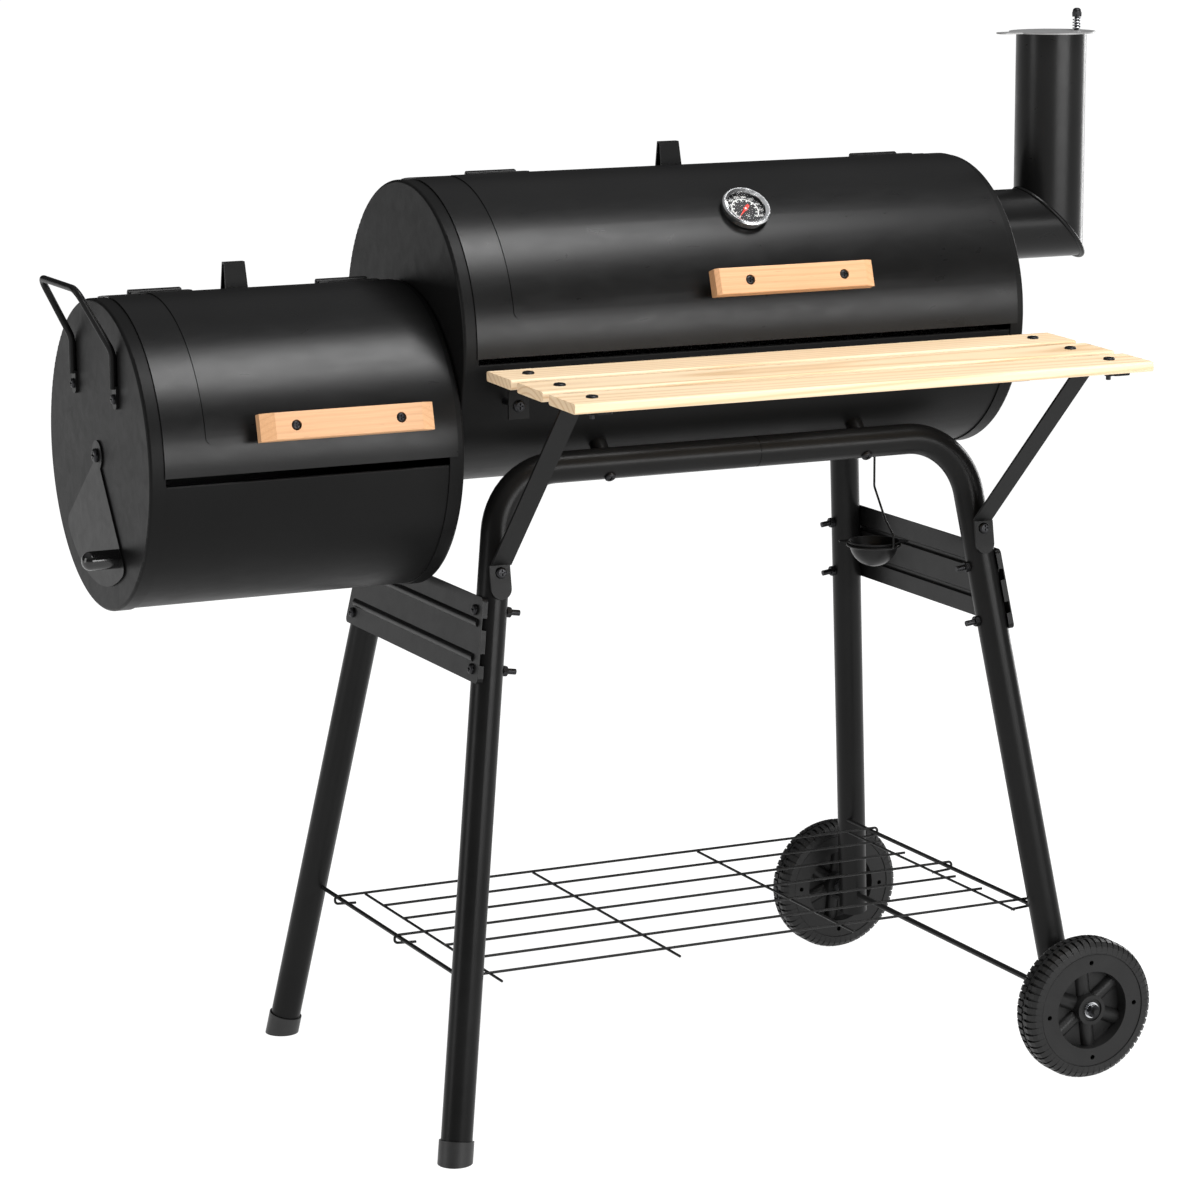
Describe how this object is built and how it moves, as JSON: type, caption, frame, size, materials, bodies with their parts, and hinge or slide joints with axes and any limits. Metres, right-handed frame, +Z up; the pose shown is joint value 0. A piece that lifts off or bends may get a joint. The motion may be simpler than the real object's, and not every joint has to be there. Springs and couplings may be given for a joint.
{
  "type": "barrel charcoal grill",
  "caption": "Barrel charcoal grill with an offset firebox, hinged lids, a lid thermometer, a mitred chimney with rain cap, a wooden front shelf, a wire rack and a wheeled tube frame.",
  "frame": {"origin": "middle of the bounding box's bottom face, on the floor", "axes": "+X runs from the firebox to the chimney along the barrels, -Y is the front where the lids open, +Z is up"},
  "size_m": [1.177, 0.6768, 1.107],
  "materials": {
    "barrel_paint": "semi-matt heat-proof black",
    "lid_paint": "satin heat-proof black",
    "hardware_paint": "satin black",
    "chimney_paint": "satin heat-proof black",
    "rain_cap_paint": "satin black",
    "frame_paint": "satin black powder coat",
    "wire_paint": "satin black powder coat",
    "cup_paint": "satin black",
    "handle_wood": "oiled, orange-tan",
    "shelf_pine": "planed and lightly varnished",
    "black_fasteners": "black oxide",
    "bright_fasteners": "zinc plated",
    "bezel_chrome": "polished",
    "dial_black": "matt black",
    "dial_print": "matt white print",
    "needle_red": "matt red",
    "gauge_glass": "clear",
    "grip_plastic": "glossy black",
    "wheel_plastic": "moulded black",
    "foot_plastic": "moulded black",
    "grate_steel": "plated wire",
    "tray_enamel": "heat-proof black"
  },
  "bodies": {
    "stand": {"axle": "wire_paint", "axle_fasteners": "bright_fasteners", "bottom_rack": "wire_paint", "charcoal_grate": "tray_enamel", "chimney_pipe": "chimney_paint", "chimney_pivot_bolt": "black_fasteners", "chimney_spring": "bright_fasteners", "chimney_stub": "chimney_paint", "cooking_grates": "grate_steel", "damper_pivot": "black_fasteners", "firebox_body": "barrel_paint", "firebox_bolts": "black_fasteners", "firebox_grate": "tray_enamel", "firebox_left_cap": "barrel_paint", "firebox_right_cap": "barrel_paint", "foot_caps": "foot_plastic", "frame_bolts": "black_fasteners", "frame_tube_front_left": "frame_paint", "frame_tube_front_right": "frame_paint", "frame_tube_rear_left": "frame_paint", "frame_tube_rear_right": "frame_paint", "grate_rails": "tray_enamel", "hinge_body_leaves": "hardware_paint", "hinge_pins": "hardware_paint", "lid_rests": "hardware_paint", "main_body": "barrel_paint", "main_left_cap": "barrel_paint", "main_right_cap": "barrel_paint", "rack_rods": "wire_paint", "saddle_spacers": "hardware_paint", "shelf_brackets": "hardware_paint", "shelf_plank_front": "shelf_pine", "shelf_plank_middle": "shelf_pine", "shelf_plank_rear": "shelf_pine", "shelf_screws": "black_fasteners", "side_handle": "hardware_paint", "side_panel_left": "frame_paint", "side_panel_right": "frame_paint"},
    "main_lid": {"main_lid": "lid_paint", "main_handle_bar": "handle_wood", "main_handle_sleeves": "hardware_paint", "main_handle_screws": "black_fasteners", "main_hinge_lid_leaves": "hardware_paint", "thermometer_case": "bezel_chrome", "thermometer_dial": "dial_black", "thermometer_glass": "gauge_glass", "thermometer_nut": "bright_fasteners"},
    "needle": {"thermometer_needle": "needle_red"},
    "firebox_lid": {"firebox_lid": "lid_paint", "firebox_handle_bar": "handle_wood", "firebox_handle_sleeves": "hardware_paint", "firebox_handle_screws": "black_fasteners", "firebox_hinge_lid_leaves": "hardware_paint"},
    "damper": {"damper_plate": "hardware_paint", "damper_grip": "grip_plastic"},
    "rain_cap": {"chimney_cap": "rain_cap_paint"},
    "front_wheel": {"front_wheel": "wheel_plastic"},
    "rear_wheel": {"rear_wheel": "wheel_plastic"},
    "grease_cup": {"grease_cup": "cup_paint", "grease_cup_hanger": "wire_paint"}
  },
  "joints": [
    {"name": "main_lid_hinge", "type": "hinge", "parent": "stand", "child": "main_lid", "pos_m": [0.098, 0.07841, 0.953], "axis": [-1, 0, 0], "range_deg": [0, 108]},
    {"name": "firebox_lid_hinge", "type": "hinge", "parent": "stand", "child": "firebox_lid", "pos_m": [-0.382, 0.07841, 0.851], "axis": [-1, 0, 0], "range_deg": [0, 108]},
    {"name": "damper_swing", "type": "hinge", "parent": "stand", "child": "damper", "pos_m": [-0.549, 0.03742, 0.698], "axis": [1, 0, 0], "range_deg": [-60, 60]},
    {"name": "chimney_cap_swing", "type": "hinge", "parent": "stand", "child": "rain_cap", "pos_m": [0.573, 0.03742, 1.081], "axis": [0, 0, 1], "range_deg": [-100, 100]},
    {"name": "front_wheel_spin", "type": "hinge", "parent": "stand", "child": "front_wheel", "pos_m": [0.43156, -0.23758, 0.0755], "axis": [0, 1, 0], "continuous": true},
    {"name": "rear_wheel_spin", "type": "hinge", "parent": "stand", "child": "rear_wheel", "pos_m": [0.43156, 0.31242, 0.0755], "axis": [0, 1, 0], "continuous": true},
    {"name": "grease_cup_swing", "type": "hinge", "parent": "stand", "child": "grease_cup", "pos_m": [0.327, 0.03742, 0.6494], "axis": [1, 0, 0], "range_deg": [-12, 12]},
    {"name": "needle_turn", "type": "hinge", "parent": "main_lid", "child": "needle", "pos_m": [0.113, -0.0679, 0.91697], "axis": [0, 0.6691, -0.7431], "range_deg": [0, 270], "stiffness_Nm_per_rad": 0.0005}
  ]
}
